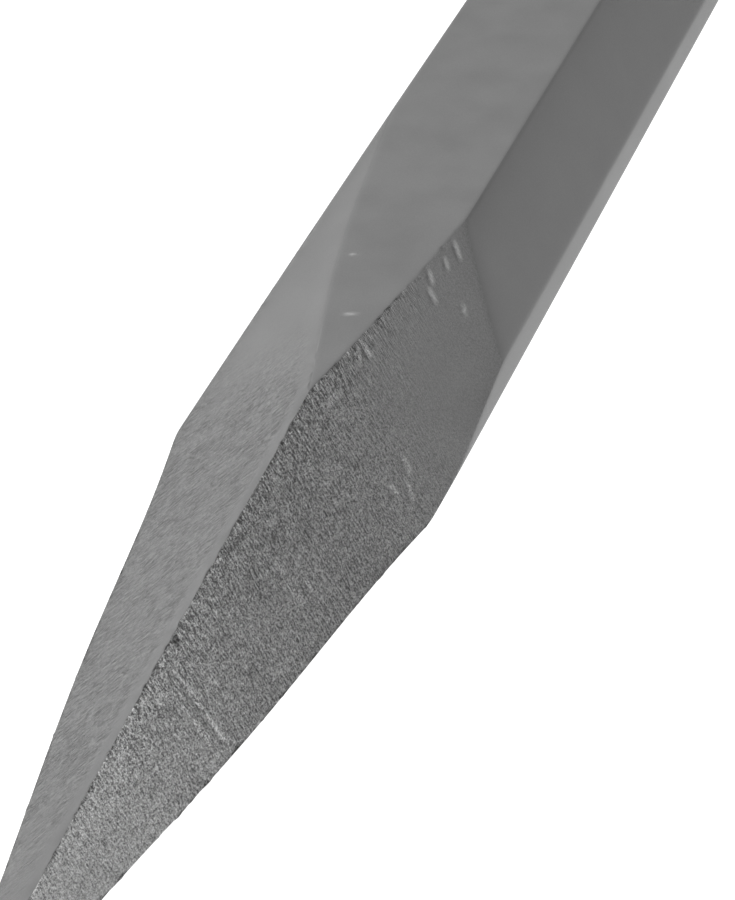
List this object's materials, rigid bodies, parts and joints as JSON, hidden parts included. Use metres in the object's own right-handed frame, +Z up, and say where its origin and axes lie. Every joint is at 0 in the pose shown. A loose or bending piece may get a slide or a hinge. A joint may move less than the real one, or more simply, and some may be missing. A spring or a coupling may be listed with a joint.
{
  "type": "masonry point chisel",
  "caption": "Hexagonal steel point chisel for masonry, struck by hand, with a faceted ground point and a push-on cushioned grip and hand shield.",
  "frame": {"origin": "centre of the underside of the bounding box of the tool as it lies on a bench, on the shoulder of its point and on one flat of the hand shield", "axes": "+X towards the struck head, with the bar climbing 5.81 degrees that way; +Z up from the bench, with the bar's top flat facing up; +Y across the bar"},
  "size_m": [0.2992, 0.0648, 0.0597],
  "materials": {
    "steel": "shot-blasted tool steel, dark grey, with finer ground faces",
    "core": "moulded, fine matt",
    "collar": "moulded, satin",
    "grommet": "moulded rubber, matt",
    "grip": "soft elastomer, finely textured",
    "shield": "soft elastomer, satin"
  },
  "bodies": {
    "bar": {"chisel_bar": "steel"},
    "guard": {"guard_core": "core", "lower_grommet": "grommet", "upper_grommet": "grommet", "lower_collar": "collar", "upper_collar": "collar", "grip_sleeve": "grip", "hand_shield": "shield"}
  },
  "joints": [
    {"name": "guard_slide", "type": "slide", "parent": "bar", "child": "guard", "axis": [0.9949, 0, 0.1013], "range_m": [0, 0.16]}
  ]
}
